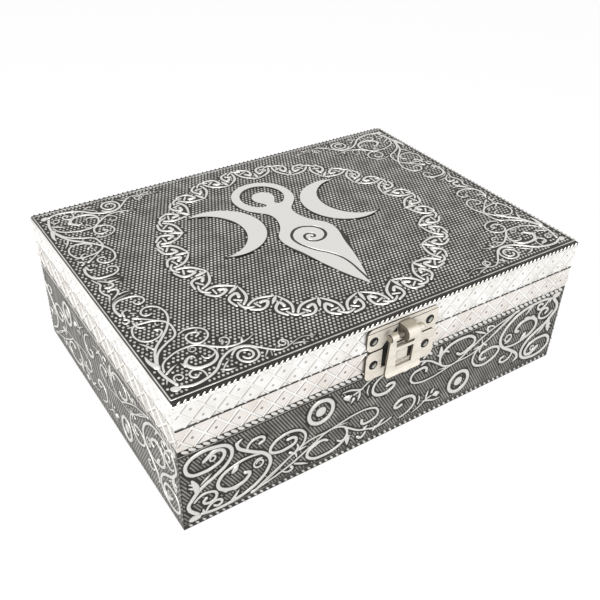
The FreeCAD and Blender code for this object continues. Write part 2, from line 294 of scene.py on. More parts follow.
def thin_out(field, corners, half_across, low, high, strokes, clearance):
    """Keeps the bumps of a field that lie inside its frame and clear of the strokes."""
    tree = BVHTree.FromPolygons(
        [corner.co for corner in strokes.data.vertices], [face.vertices for face in strokes.data.polygons]
    )
    places = np.empty(len(field.data.vertices) * 3)
    field.data.vertices.foreach_get("co", places)
    middles = places.reshape(-1, corners, 3).mean(axis=1)
    inside = (abs(middles[:, 0]) < half_across) & (middles[:, 1] > low) & (middles[:, 1] < high)
    clear = [tree.find_nearest((x, y, CLEARANCE_RISE), clearance)[0] is None for x, y, z in middles]
    gone = np.repeat(~(inside & np.array(clear)), corners)
    pick(field, gone)
    bpy.ops.mesh.delete(type="VERT")
    bpy.ops.object.mode_set(mode="OBJECT")
    return field


def stipple(half_across, half_up, strokes):
    """Staggered round bumps, as chased into the ground of the lid."""
    dot = stud(6, DOT_RADIUS, DOT_TOP, DOT_RISE, (-half_across, -half_up))
    repeat(dot, 2, (DOT_PITCH / 2, DOT_ROW, 0))
    repeat(dot, math.ceil(2 * half_across / DOT_PITCH) + 1, (DOT_PITCH, 0, 0))
    repeat(dot, math.ceil(half_up / DOT_ROW) + 1, (0, 2 * DOT_ROW, 0))
    return thin_out(dot, 12, half_across, -half_up, half_up, strokes, CLEARANCE)


def hatching(half_across, low, high, strokes, pitch, lean, clearance):
    """Slanted bars in line with each other, as chased into the ground of the side panels."""
    bpy.ops.object.select_all(action="DESELECT")
    rows = math.ceil((high - low) / BAR_ROW) + 1
    columns = math.ceil((2 * half_across + rows * abs(lean)) / pitch) + 2
    bpy.ops.mesh.primitive_cube_add(size=1, location=(0, 0, 0.5))
    bar = bpy.context.object
    bpy.ops.object.transform_apply()
    pick(bar, [corner.co.z > 0.5 for corner in bar.data.vertices])
    bpy.ops.transform.resize(value=(BAR_CREST, 1, 1), center_override=(0, 0, 0))
    bpy.ops.mesh.select_all(action="SELECT")
    length = math.hypot(BAR_ROW, lean)
    bpy.ops.transform.resize(value=(BAR_WIDTH, length, BAR_RISE), center_override=(0, 0, 0))
    bpy.ops.transform.rotate(value=math.atan2(lean, BAR_ROW), orient_axis="Z", center_override=(0, 0, 0))
    bpy.ops.transform.translate(value=(-half_across - pitch - max(0, rows * lean), low, 0))
    bpy.ops.object.mode_set(mode="OBJECT")
    repeat(bar, columns, (pitch, 0, 0))
    repeat(bar, rows, (lean, BAR_ROW, 0))
    return thin_out(bar, 8, half_across, low, high, strokes, clearance)


def rope(half_across, middle, tilt, length=3.5, width=1.5, rise=0.45, pitch=ROPE_PITCH):
    """A twisted-cord border: one slanted bead, repeated along the edge."""
    count = int(2 * half_across / pitch)
    bead = boss((-pitch * (count - 1) / 2, middle), length, width, tilt, rise, segments=8, rings=6)
    repeat(bead, count, (pitch, 0, 0))
    return bead


# Lid top

CORNER_SCROLL = [
    ([(5.1, 6.8), (3.6, 11.9), (3.4, 17.1), (4.3, 20.1), (6.8, 25.6), (11.1, 29.9), (15.4, 35.0),
      (17.7, 40.1), (17.7, 43.5), (16.2, 46.5), (13.2, 47.6), (10.9, 46.1), (10.7, 43.9), (12.2, 43.1),
      (13.7, 43.5)], (1.5, 1.15, 1.0)),
    ([(3.6, 17.1), (6.4, 23.0), (11.1, 26.5), (14.9, 28.6), (16.2, 32.4), (15.8, 36.3), (13.2, 39.0),
      (9.4, 39.9), (5.5, 39.7), (3.8, 36.7), (3.6, 33.7), (5.5, 30.7), (8.5, 30.1), (11.5, 31.6),
      (12.4, 33.7), (10.5, 34.8)], (1.2, 1.1, 1.0)),
    ([(16.2, 28.6), (19.6, 29.7), (23.9, 27.7), (24.7, 24.7), (22.6, 21.8), (19.2, 21.3), (17.3, 23.9),
      (17.9, 26.5), (20.5, 27.1), (22.0, 25.8), (20.5, 24.7)], (0.9, 1.15, 1.1)),
    ([(4.3, 14.1), (5.5, 17.5), (9.4, 20.1), (14.9, 21.3), (19.2, 20.5), (21.8, 17.1), (22.2, 13.7),
      (20.5, 11.1), (16.6, 10.0), (12.8, 11.1), (11.1, 14.1)], (1.0, 1.1, 2.0)),
    ([(11.1, 13.5), (12.8, 15.8), (14.9, 16.4), (15.4, 15.2)], (1.9, 1.2, 0.8)),
    ([(10.9, 13.0), (10.3, 15.4)], (1.3, 1.1, 0.4)),
    ([(17.6, 15.2), (18.2, 13.4), (20.6, 13.4), (22.1, 14.6)], (0.7, 1.2, 0.7)),
    ([(5.5, 5.5), (8.5, 4.3), (12.8, 4.5), (17.9, 6.4), (22.6, 10.7), (27.3, 12.8), (31.6, 12.4),
      (35.4, 9.0), (38.4, 6.0), (41.0, 4.7), (44.8, 5.5), (49.5, 6.8), (54.2, 5.3)], (1.5, 1.2, 0.6)),
    (curl((29.9, 8.1), 4.7, 150, -1.9), (1.1, 1.2, 1.2)),
    (curl((7.0, 9.4), 1.7, 200, -1.1, inner=0.5), (0.9, 0.9, 0.8)),
    ([(14.6, 4.9), (14.6, 8.6), (13.2, 10.2), (10.9, 9.8), (10.3, 8.0), (11.6, 6.9), (12.8, 7.6)],
     (0.9, 1.1, 1.0)),
    (curl((42.7, 7.3), 1.9, 300, 1.4, inner=0.35), (0.9, 0.9, 0.9)),
    ([(26.0, 15.2), (28.3, 16.6), (28.7, 18.9), (27.0, 19.8), (25.9, 18.5), (26.9, 17.5)],
     (0.8, 0.9, 0.8)),
    (curl((16.6, 19.5), 1.5, 90, 1.2, inner=0.5), (0.7, 0.8, 0.7)),
    ([(19.2, 20.5), (23.0, 17.1), (26.5, 14.9), (30.7, 14.3), (34.5, 15.0), (37.1, 16.2)],
     (1.3, 1.1, 0.6)),
    ([(32.0, 14.7), (33.0, 17.2)], (1.5, 1.0, 0.3)),
    ([(4.3, 47.4), (3.8, 51.2), (5.5, 55.0), (9.8, 56.1), (13.7, 55.0), (14.9, 52.5), (13.2, 50.6),
      (11.3, 51.2), (11.1, 52.9)], (1.5, 1.15, 0.9)),
    ([(3.9, 50.0), (4.6, 55.0), (7.6, 57.6)], (0.8, 0.8, 0.6)),
    ([(5.2, 46.6), (5.6, 49.0), (8.0, 49.4)], (1.3, 1.1, 0.6)),
    ([(7.6, 47.2), (9.4, 46.2)], (0.8, 0.6, 0.5)),
    ([(7.2, 44.0), (10.0, 42.0), (13.2, 39.2)], (1.5, 0.9, 0.9)),
    (curl((4.4, 43.6), 1.2, 90, -0.8, inner=0.8), (1.2, 1.1, 0.8)),
    ([(3.6, 40.0), (6.4, 39.8)], (0.8, 1.4, 0.8)),
    ([(6.2, 41.6), (6.6, 38.6), (8.6, 37.6)], (1.2, 1.1, 0.8)),
    ([(12.4, 38.2), (12.2, 36.8), (13.2, 36.6)], (0.8, 0.8, 0.7)),
    ([(3.4, 30.6), (5.0, 28.2), (6.2, 25.6)], (0.6, 1.0, 1.2)),
    ([(4.3, 26.2), (4.6, 27.4), (6.1, 26.4)], (0.8, 0.9, 0.8)),
    ([(2.3, 23.8), (2.2, 20.6), (3.4, 16.8)], (0.6, 1.8, 3.0)),
    ([(4.4, 12.8), (6.6, 14.2), (9.2, 15.4)], (1.2, 1.1, 0.5)),
    ([(2.6, 8.6), (3.4, 10.2)], (0.6, 0.8, 0.9)),
    ([(19.6, 6.2), (21.6, 4.9), (24.4, 4.6)], (0.8, 1.1, 0.4)),
    ([(20.2, 5.8), (22.6, 8.0), (24.4, 9.0)], (0.7, 1.0, 0.4)),
    ([(34.2, 4.2), (36.4, 6.4), (37.6, 8.0)], (0.5, 0.9, 0.6)),
    ([(36.6, 3.8), (37.4, 6.0)], (0.6, 1.1, 0.6)),
    ([(45.2, 5.0), (48.0, 4.6), (50.4, 3.4)], (0.7, 0.9, 0.4)),
    ([(23.6, 16.0), (23.0, 14.6)], (1.0, 0.8, 0.5)),
    ([(38.0, 5.0), (40.2, 7.2)], (0.8, 0.7, 0.4)),
]
CORNER_BOSS = ((3.9, 5.4), 3.6, 2.6)  # place, length and width
CORNER_TILT = -25
# Strokes of the ornament at the middle of the short edges; heights are from the mid-line
EDGE_SCROLL = [
    ([(3.9, 0.0), (4.4, -2.0), (5.4, -4.0), (4.6, -6.2), (3.8, -8.4)], (1.0, 1.2, 0.7)),
    ([(5.4, -6.6), (7.4, -5.0), (8.8, -3.6), (9.2, -1.6), (7.6, -0.8), (6.2, -1.2)], (0.8, 1.3, 1.6)),
    ([(8.8, -4.6), (11.0, -4.2), (13.2, -4.6)], (1.0, 0.9, 0.4)),
    ([(10.6, -3.0), (12.6, -2.4)], (0.9, 0.8, 0.5)),
    ([(6.2, -7.0), (9.0, -6.4), (12.4, -5.6)], (0.6, 0.7, 0.4)),
]
BORDER_IN_LONG = 1.6  # from the long edges to the line along them
BORDER_IN_SHORT = 0.5  # and from the short edges
BORDER_WIDTH = 0.66
LID_STROKE = 0.84  # share of the listed widths


def lid_scrollwork():
    """The same scroll in the four corners, an ornament on each short edge, and a line round the field."""
    strokes, bosses = [], []
    for across in (-1, 1):
        for up in (-1, 1):
            for points, widths in CORNER_SCROLL:
                corner = [(across * (HALF_LENGTH - x), up * (HALF_WIDTH - y)) for x, y in points]
                strokes.append((corner, [LID_STROKE * width for width in widths]))
            for points, widths in EDGE_SCROLL:
                side_shade = [(across * (HALF_LENGTH - x), up * y) for x, y in points]
                strokes.append((side_shade, [LID_STROKE * width for width in widths]))
            (x, y), length, width = CORNER_BOSS
            place = (across * (HALF_LENGTH - x), up * (HALF_WIDTH - y))
            bosses.append(boss(place, length, width, CORNER_TILT * across * up))
    x, y = HALF_LENGTH - BORDER_IN_SHORT, HALF_WIDTH - BORDER_IN_LONG
    line = (BORDER_WIDTH, BORDER_WIDTH, BORDER_WIDTH)
    for up in (-y, y):
        strokes.append(([(-x, up), (x, up)], line))
    for across in (-x, x):
        strokes.append(([(across, -y), (across, y)], line))
    return join([emboss(strokes), *bosses])


RING_RADIUS = 52.0
RING_REPEATS = 20
# Strands of one half of a pair, each point along the ring and out of it; the other half is mirrored
RING_STRANDS = [
    ([(7.4, -4.7), (5.6, -3.8), (3.6, -2.6), (1.9, -0.9), (1.05, 1.2), (0.75, 3.6)], (0.8, 1.35, 1.1)),
    ([(2.2, 5.5), (4.2, 4.8), (5.8, 3.9), (6.6, 2.0), (6.5, 0.2), (6.0, -1.0), (4.9, -0.5), (4.0, 0.5)],
     (1.1, 1.35, 1.6)),
    ([(2.2, 1.7), (3.4, 2.2), (4.8, 2.8)], (0.95, 1.0, 0.95)),
]
RING_ARCH = [(-2.9, 3.5), (-1.5, 4.6), (0.0, 5.1), (1.5, 4.6), (2.9, 3.5)]
RING_LEAF = [(8.17, -5.6), (8.17, -2.5), (8.17, 0.7)]
RING_SEED = [(8.17, 1.5), (8.17, 2.1)]
ARCH_WIDTHS, LEAF_WIDTHS, SEED_WIDTHS = (0.9, 1.3, 0.9), (0.35, 1.7, 0.35), (0.8, 1.0, 0.8)


def knot_ring():
    """Twenty pairs of interlaced loops under a small arch, with a leaf and a seed between pairs."""
    strokes = []
    for count in range(RING_REPEATS):
        middle = 2 * math.pi / RING_REPEATS * count
        mirrored = [([(-along, out) for along, out in strand], widths) for strand, widths in RING_STRANDS]
        pair = RING_STRANDS + mirrored
        pair += [(RING_ARCH, ARCH_WIDTHS), (RING_LEAF, LEAF_WIDTHS), (RING_SEED, SEED_WIDTHS)]
        for strand, widths in pair:
            turned = []
            for along, out in strand:
                angle, reach = middle + along / RING_RADIUS, RING_RADIUS + out
                turned.append((reach * math.cos(angle), reach * math.sin(angle)))
            strokes.append((turned, widths))
    return emboss(strokes)


def arc(first, middle, last, count):
    """Points on the circle through three points, from the first to just before the last."""
    (ax, ay), (bx, by), (cx, cy) = first, middle, last
    cross = 2 * (ax * (by - cy) + bx * (cy - ay) + cx * (ay - by))
    a, b, c = ax * ax + ay * ay, bx * bx + by * by, cx * cx + cy * cy
    x = (a * (by - cy) + b * (cy - ay) + c * (ay - by)) / cross
    y = (a * (cx - bx) + b * (ax - cx) + c * (bx - ax)) / cross
    reach = math.hypot(ax - x, ay - y)
    start, via, end = (math.atan2(py - y, px - x) for px, py in (first, middle, last))
    sweep = (end - start) % (2 * math.pi)
    if (via - start) % (2 * math.pi) > sweep:
        sweep -= 2 * math.pi
    angles = [start + sweep * step / count for step in range(count)]
    return [(x + reach * math.cos(angle), y + reach * math.sin(angle)) for angle in angles]


EMBLEM_RISE = 0.46
OUTER_STEPS, INNER_STEPS = 14, 12  # points along the two arcs of a crescent
# Tip, middle of the outer arc, other tip and middle of the inner arc
CRESCENTS = [((-35.5, 29.7), (-11.6, 12.7), (-36.0, -3.4), (-20.0, 12.9)),
             ((34.8, 29.0), (10.5, 12.6), (35.2, -3.5), (18.8, 12.8))]
# Half-widths of the figure up its height, from the toe to the shoulders
FIGURE_SIDE = [(4.0, -34.5), (7.0, -25.2), (9.5, -15.2), (11.8, -8.0), (12.05, -4.5), (11.2, -0.7),
               (7.9, 3.5), (5.8, 7.5), (4.8, 12.5), (5.6, 16.2), (8.6, 19.6), (11.8, 23.8)]
FIGURE_TOE = (0.0, -44.5)
ARM_MIDDLE, ARM_OUTER, ARM_INNER = 30.2, 13.1, 9.4
ARM_INNER_MIDDLE = ARM_MIDDLE + 0.4
FIGURE_SHIFT = -0.4
HEAD_MIDDLE, HEAD_RADIUS = 29.6, 4.8
NECK = [(2.3, 22.9), (2.3, 24.0), (3.6, 26.3)]
GROOVE = [(-0.6, -6.9), (0.3, -7.6), (1.2, -6.6), (0.6, -4.9), (-1.4, -4.5), (-3.2, -6.3), (-2.7, -9.2),
          (0.3, -10.8), (4.0, -9.7), (6.1, -6.6), (5.6, -2.7), (2.4, 0.4), (-1.9, 1.1), (-5.6, -1.0),
          (-7.6, -4.2), (-7.8, -8.0), (-6.6, -12.0), (-4.2, -16.5), (-1.2, -20.5), (0.9, -25.2),
          (1.5, -30.5), (1.1, -36.5), (0.6, -42.5)]
GROOVE_WIDTH = 1.3
GROOVE_DEPTH = 0.4
EMBLEM_BEVEL = 0.12


def crescent(tip, outer, other, inner):
    outline = arc(tip, outer, other, OUTER_STEPS) + arc(other, inner, tip, INNER_STEPS)
    return plate([outline], EMBLEM_RISE, sharp=(outline[0], outline[OUTER_STEPS]))


def figure():
    """A standing figure with its arms joined in a ring over its head, and a spiral groove on the belly."""
    crown = [(ARM_OUTER * math.cos(angle), ARM_MIDDLE + ARM_OUTER * math.sin(angle))
             for angle in np.radians(range(0, 181, 20))]
    outline = [FIGURE_TOE, *FIGURE_SIDE, *crown, *[(-x, y) for x, y in reversed(FIGURE_SIDE)]]
    ring = [(ARM_INNER * math.cos(angle), ARM_INNER_MIDDLE + ARM_INNER * math.sin(angle))
            for angle in np.radians(range(-58, 239, 20))]
    head = [(HEAD_RADIUS * math.cos(angle), HEAD_MIDDLE + HEAD_RADIUS * math.sin(angle))
            for angle in np.radians(range(180 + 15, -31, -21))]
    hole = [*ring, *[(-x, y) for x, y in NECK], *head, *reversed(NECK)]
    outlines = [[(x + FIGURE_SHIFT, y) for x, y in line] for line in (outline, hole)]
    toe = outlines[0][0]
    body = plate(outlines, EMBLEM_RISE, sharp=(toe,))
    widths = (0.8 * GROOVE_WIDTH, GROOVE_WIDTH, 0.7 * GROOVE_WIDTH)
    cutter = emboss([(GROOVE, widths)], rise=2 * GROOVE_DEPTH)
    cutter.location.z = EMBLEM_RISE
    apply_modifier(body, "BOOLEAN", object=cutter, operation="DIFFERENCE", solver="EXACT")
    bpy.data.objects.remove(cutter)
    return body


def emblem():
    piece = join([figure(), *[crescent(*points) for points in CRESCENTS]])
    apply_modifier(
        piece, "BEVEL", width=EMBLEM_BEVEL, segments=2, limit_method="ANGLE", angle_limit=math.radians(50),
    )
    return piece


# Bright lattice bands

def lattice(half_across, low, high, row):
    """Crossed ribs, a painted shadow line beside those that lean right, and a punched dot in each diamond.
    """
    start = -half_across + LATTICE_START
    reach = high - low
    lines, shade_lines = [], []
    for lean in (1, -1):
        first = start + LATTICE_PITCH / 2 + lean * (low - row)
        foot = first - LATTICE_PITCH * math.ceil((first + half_across + reach) / LATTICE_PITCH)
        while foot < half_across + reach:
            line = clip([(foot, low), (foot + lean * reach, high)], half_across)
            if line:
                lines.append((line, 3 * [RIB_WIDTH]))
            if line and lean == 1:
                shade_lines.append(([(x + SHADE_LINE_SHIFT, z - SHADE_LINE_SHIFT) for x, z in line], 3 * [SHADE_LINE_WIDTH]))
            foot += LATTICE_PITCH
    parts = [emboss(shade_lines, rise=SHADE_LINE_RISE, smoothness=1), emboss(lines, rise=RIB_RISE, smoothness=1)]
    for height, offset in ((row, 0.0), (row - LATTICE_PITCH / 2, LATTICE_PITCH / 2)):
        if low + STUD_MARGIN < height < high - STUD_MARGIN:
            columns = int((half_across - LATTICE_END - start - offset) / LATTICE_PITCH) + 1
            dot = stud(8, STUD_RADIUS, STUD_TOP, STUD_RISE, (start + offset, height))
            repeat(dot, columns, (LATTICE_PITCH, 0, 0))
            parts.append(dot)
    return join(parts)


def clip(ends, half_across):
    """The stretch of a straight line between the two ends of a band, or None."""
    (ax, ay), (bx, by) = ends
    low, high = sorted(((-half_across - ax) / (bx - ax), (half_across - ax) / (bx - ax)))
    low, high = max(0, low), min(1, high)
    if high - low < SHORTEST_RIB:
        return None
    return [(ax + (bx - ax) * share, ay + (by - ay) * share) for share in (low, high)]


# Scrolled side panels

PANEL_MIDDLE = 18.9
# Half of the panel, from its left end and its foot; the other half is the same, turned about the middle
PANEL_SCROLL = [
    ([(5.9, 5.2), (2.6, 10.4), (4.7, 14.0), (7.6, 16.9), (12.9, 19.8), (17.6, 23.3), (19.4, 27.4),
      (17.8, 31.0), (12.9, 33.0), (7.6, 33.0), (3.5, 31.0), (2.6, 28.0), (4.1, 25.1), (8.2, 23.9),
      (12.9, 24.5), (16.2, 26.9), (16.4, 29.4), (14.4, 31.0), (11.9, 30.8), (11.4, 29.4)],
     (1.6, 1.5, 1.5)),
    ([(15.4, 30.6), (12.8, 30.8), (10.6, 29.6), (8.9, 28.4)], (1.0, 1.9, 1.3)),
    (curl((12.2, 28.2), 1.3, 110, -1.0, inner=0.6), (0.9, 0.8, 0.7)),
    ([(30.5, 20.4), (25.8, 21.3), (19.9, 20.4), (14.7, 17.5), (13.8, 14.0), (16.4, 11.0), (20.5, 10.1),
      (24.6, 11.6), (25.8, 14.0), (24.0, 14.8)], (0.9, 1.7, 1.5)),
    ([(19.4, 17.6), (20.4, 18.9), (21.6, 20.2)], (1.6, 2.4, 0.7)),
    ([(18.2, 10.6), (19.9, 9.6), (22.0, 9.2)], (0.9, 1.8, 0.4)),
    ([(15.4, 11.2), (16.6, 10.2), (18.0, 9.8)], (0.9, 1.5, 0.4)),
    ([(21.1, 30.0), (21.8, 27.6), (23.8, 25.6), (27.6, 22.8), (31.7, 19.8), (34.0, 15.7), (33.4, 12.2),
      (29.3, 7.5), (23.5, 4.6), (18.8, 3.7), (12.0, 3.6), (7.0, 4.6)], (1.4, 1.6, 1.2)),
    ([(21.4, 30.0), (23.4, 31.2)], (1.3, 1.0, 0.5)),
    ([(25.0, 25.0), (25.6, 27.0), (27.9, 28.4), (31.0, 28.0), (31.6, 26.4), (29.6, 25.4)],
     (1.0, 1.2, 1.2)),
    (curl((29.6, 16.2), 2.3, 60, 1.3, inner=0.5), (0.8, 0.9, 0.8)),
    ([(28.2, 4.0), (35.0, 8.2), (42.2, 12.2), (46.3, 14.5), (48.4, 18.1), (47.5, 21.6), (43.4, 24.2),
      (38.1, 23.9), (34.6, 21.6), (34.0, 19.2), (36.4, 17.5), (41.1, 17.2), (44.4, 18.9), (43.6, 21.0),
      (40.9, 21.2)], (0.7, 1.35, 1.4)),
    ([(28.7, 3.7), (36.4, 8.1), (42.2, 12.2), (49.9, 15.7), (58.7, 16.3), (64.5, 17.5), (70.4, 18.4),
      (76.2, 18.1), (80.4, 15.7), (80.4, 12.8), (76.8, 11.3), (73.5, 12.0), (73.3, 13.7)],
     (0.7, 0.85, 1.4)),
    ([(27.0, 3.4), (41.1, 7.5), (51.6, 12.8), (58.7, 16.3), (63.3, 15.7), (67.4, 12.8), (72.1, 9.3),
      (76.6, 7.6), (82.0, 6.4), (88.0, 7.8)], (0.8, 0.95, 0.8)),
    ([(26.6, 3.4), (29.4, 4.0)], (1.4, 2.2, 0.8)),
    ([(58.1, 11.6), (56.3, 12.8), (52.8, 12.2), (49.3, 9.3), (51.0, 6.3), (56.3, 4.9), (62.2, 5.7),
      (65.7, 8.1), (66.9, 11.0), (65.9, 14.0)], (1.2, 1.4, 1.1)),
    ([(66.8, 10.2), (67.0, 7.6), (67.2, 4.4)], (1.2, 2.4, 0.5)),
    ([(66.6, 8.4), (64.6, 7.8), (62.6, 9.0)], (1.4, 1.2, 0.9)),
    ([(67.2, 8.6), (68.6, 8.4)], (1.4, 1.0, 0.5)),
    (curl((54.5, 27.4), 5.0, 0, 1.0, inner=1.0), (1.8, 1.8, 1.8)),
    ([(64.4, 28.8), (66.0, 28.4), (67.6, 28.6)], (1.2, 3.0, 0.8)),
    ([(63.4, 31.6), (66.8, 31.4), (69.8, 30.2), (72.6, 29.4)], (0.5, 1.1, 0.7)),
    ([(68.4, 28.4), (71.0, 29.2), (74.4, 31.4), (78.0, 33.0)], (0.8, 0.9, 0.5)),
    ([(71.2, 28.8), (71.0, 26.6), (70.4, 24.6)], (0.7, 1.2, 0.4)),
    ([(68.6, 26.6), (67.6, 24.8)], (1.4, 1.2, 0.5)),
    ([(75.2, 29.8), (74.6, 27.2), (75.4, 24.8)], (0.7, 0.9, 0.4)),
    ([(84.0, 32.4), (79.4, 30.6), (77.2, 27.6), (77.8, 24.6), (81.5, 22.6), (86.0, 23.4), (87.2, 25.2),
      (85.6, 26.2), (83.6, 25.6)], (0.8, 1.6, 1.3)),
    ([(4.8, 11.4), (7.0, 13.2), (10.6, 13.4), (13.0, 11.6), (12.4, 9.0), (9.8, 8.4), (8.2, 9.8),
      (9.4, 11.2)], (0.9, 1.3, 1.2)),
    ([(8.6, 4.4), (10.8, 7.2), (13.6, 7.8), (15.0, 6.2), (13.6, 5.0), (12.0, 5.8)], (1.0, 1.2, 1.1)),
    ([(8.0, 5.0), (7.8, 6.8)], (1.3, 1.0, 0.4)),
    ([(6.0, 15.0), (5.8, 18.6), (4.4, 22.4)], (1.5, 2.6, 0.7)),
    ([(5.4, 18.0), (3.2, 19.2)], (1.4, 1.2, 0.5)),
    ([(7.4, 18.4), (9.6, 20.2), (11.9, 21.8)], (0.5, 1.1, 0.4)),
    ([(5.3, 19.8), (3.3, 21.0)], (1.3, 1.1, 0.5)),
    ([(18.6, 3.8), (20.4, 6.0), (21.8, 7.8)], (1.6, 1.1, 0.4)),
    ([(43.8, 12.8), (45.4, 15.0), (44.8, 17.2)], (1.3, 1.2, 0.5)),
    ([(42.0, 14.2), (43.6, 13.2)], (1.4, 1.3, 0.8)),
    ([(44.6, 12.2), (45.0, 10.0)], (1.0, 0.9, 0.4)),
    ([(38.8, 6.8), (41.0, 5.2), (43.2, 5.6), (42.6, 7.0)], (0.7, 1.0, 1.3)),
    ([(44.0, 7.6), (47.0, 6.0), (50.0, 4.4)], (0.8, 1.1, 0.5)),
    ([(46.0, 13.6), (49.0, 13.8)], (1.2, 0.9, 0.5)),
    ([(63.0, 16.6), (67.0, 16.0)], (0.8, 1.3, 0.5)),
    ([(71.8, 6.0), (73.6, 4.8), (75.6, 6.6)], (1.3, 1.3, 1.0)),
    ([(74.6, 8.4), (76.2, 9.6)], (1.4, 1.1, 0.7)),
    ([(77.6, 7.0), (80.8, 6.6), (83.0, 8.4), (84.8, 9.2)], (0.9, 1.5, 0.5)),
    ([(80.2, 6.8), (79.0, 5.0)], (1.5, 1.3, 0.6)),
]
# Bosses of the same half: place, length and width
PANEL_BOSSES = [((54.5, 27.4), 4.6, 4.6), ((4.7, 3.9), 5.2, 2.8), ((65.6, 28.6), 3.2, 2.2)]
PANEL_STROKE = 1.07  # share of the listed widths on the long sides
SHORT_STROKE = 0.9  # and on the short sides
SHORT_ROPE = 0.16  # height of the worn-down cord at their foot
SHORT_HEAD_ROPE = 0.26  # and at their head
SHORT_EASE = 0.82  # the short sides have the same strip, drawn in and cut off at its left end
STROKE_MARGIN = 1.2  # least distance from the middle of a stroke to the ends of a panel
# Lines inside the cords: height and width
PANEL_LINES = [(PANEL_HEAD - 2.5, 0.5), (PANEL_FOOT + 2.4, 0.4)]
GROUND_FOOT, GROUND_HEAD = PANEL_FOOT + 2.5, PANEL_HEAD - 2.7
# From a panel's ends to its lines and its ground, and to its cords
PANEL_MARGIN, ROPE_MARGIN = 0.6, 0.7
HEAD_ROPE = {"middle": PANEL_HEAD - 1.1, "tilt": -33}
FOOT_ROPE = {"middle": PANEL_FOOT + 1.15, "tilt": -52, "length": 2.6, "width": 1.2}
LONG_HEAD_ROPE, LONG_FOOT_ROPE = 0.45, 0.24  # heights of the cords on the long sides


def trim(points, half_across):
    """The longest run of a stroke's points that lies on the panel."""
    runs = [[]]
    for point in points:
        if abs(point[0]) < half_across - STROKE_MARGIN:
            runs[-1].append(point)
        elif runs[-1]:
            runs.append([])
    return max(runs, key=len)


def panel(half_across):
    """Scrolls over slanted hatching between two twisted-cord borders."""
    long = half_across == HALF_LENGTH
    ease, share = (1, PANEL_STROKE) if long else (SHORT_EASE, SHORT_STROKE)
    shift = half_across - ease * HALF_LENGTH
    strokes = []
    for points, widths in PANEL_SCROLL:
        widths = [share * width for width in widths]
        half = [(x - HALF_LENGTH, y) for x, y in points]
        for drawn in (half, [(-x, 2 * PANEL_MIDDLE - y) for x, y in half]):
            kept = trim([(ease * x + shift, y) for x, y in drawn], half_across)
            if len(kept) > 1:
                strokes.append((kept, widths))
    bosses = []
    for (x, y), length, width in PANEL_BOSSES:
        for across, up in ((x - HALF_LENGTH, y), (HALF_LENGTH - x, 2 * PANEL_MIDDLE - y)):
            place = ease * across + shift
            if abs(place) < half_across - length / 2:
                bosses.append(boss((place, up), ease * length, width))
    end = half_across - PANEL_MARGIN
    for height, width in PANEL_LINES:
        strokes.append(([(-end, height), (end, height)], 3 * [width]))
    ribs = join([emboss(strokes), *bosses])
    bars = (BAR_PITCH, BAR_LEAN, BAR_CLEARANCE) if long else (SHORT_BAR_PITCH, SHORT_BAR_LEAN, CLEARANCE)
    ground = hatching(end, GROUND_FOOT, GROUND_HEAD, ribs, *bars)
    high, low = (LONG_HEAD_ROPE, LONG_FOOT_ROPE) if long else (SHORT_HEAD_ROPE, SHORT_ROPE)
    head = rope(half_across - ROPE_MARGIN, rise=high, **HEAD_ROPE)
    foot = rope(half_across - ROPE_MARGIN, rise=low, **FOOT_ROPE)
    return join([ribs, ground, head, foot])


# Materials

def linear(colour):
    """An sRGB hex value as linear light."""
    parts = [int(colour[at:at + 2], 16) / 255 for at in (1, 3, 5)]
    return (*[part / 12.92 if part <= 0.04045 else ((part + 0.055) / 1.055) ** 2.4 for part in parts], 1)


# Inputs 0 to 4 of a Map Range are the value, its own range and the range that it is given; inputs 0, 6
# and 7 of a Mix are the share and the two colours
def add(owner, kind, inputs=None, out=0, stops=None, **settings):
    """Adds a node and gives one of its outputs; an input is a value, or a socket to link from."""
    tree = owner.node_tree
    made = tree.nodes.new("ShaderNode" + kind)
    for key, value in settings.items():
        setattr(made, key, value)
    for key, value in (inputs or {}).items():
        if isinstance(value, bpy.types.NodeSocket):
            tree.links.new(value, made.inputs[key])
        else:
            made.inputs[key].default_value = value
    if stops:
        ramp = made.color_ramp.elements
        while len(ramp) < len(stops):
            ramp.new(1)
        for element, (position, colour) in zip(ramp, stops):
            element.position = position
            element.color = linear(colour)
    return made.outputs[out] if made.outputs else None


def new_material(name):
    """An empty material, and the place on the piece that its patterns read."""
    material = bpy.data.materials.new(name)
    material.use_nodes = True
    material.node_tree.nodes.clear()
    return material, add(material, "TexCoord", out="Object")


def finish_with(material, shader):
    add(material, "OutputMaterial", {"Surface": shader})
    return material


def antiqued_aluminium(name, hollow, shade):
    # Thin aluminium, embossed, blacked all over, rubbed back and lacquered: dark in the hollows, soft
    # silver on the heights, with a thin gloss that greys the dark where it is seen at a slant
    material, place = new_material(name)
    proud = add(material, "Attribute", out="Fac", attribute_name="proud")
    blotch = add(material, "TexNoise", {"Vector": place, "Scale": 1 / 0.006, "Detail": 3.0})
    grain = add(material, "TexNoise", {"Vector": place, "Scale": 1 / 0.0006, "Detail": 2.0})
    smear = add(material, "MapRange", {0: blotch, 1: 0.3, 2: 0.7, 3: -0.12, 4: 0.1})
    rubbed = add(material, "Math", {0: proud, 1: smear}, operation="ADD")
    colour = add(material, "ValToRGB", {"Fac": rubbed}, stops=[
        (0.0, hollow), (0.2, shade), (0.5, "#8D8A85"), (0.8, "#D8D6D2"),
    ])
    rough = add(material, "MapRange", {0: rubbed, 1: 0.1, 2: 0.8, 3: 0.55, 4: 0.33})
    relief = add(material, "Bump", {"Height": grain, "Strength": 0.25, "Distance": 0.00006})
    return finish_with(material, add(material, "BsdfPrincipled", {
        "Base Color": colour, "Roughness": rough, "Metallic": 0.85, "Normal": relief,
        "Coat Weight": 0.3, "Coat Roughness": 0.3,
    }))


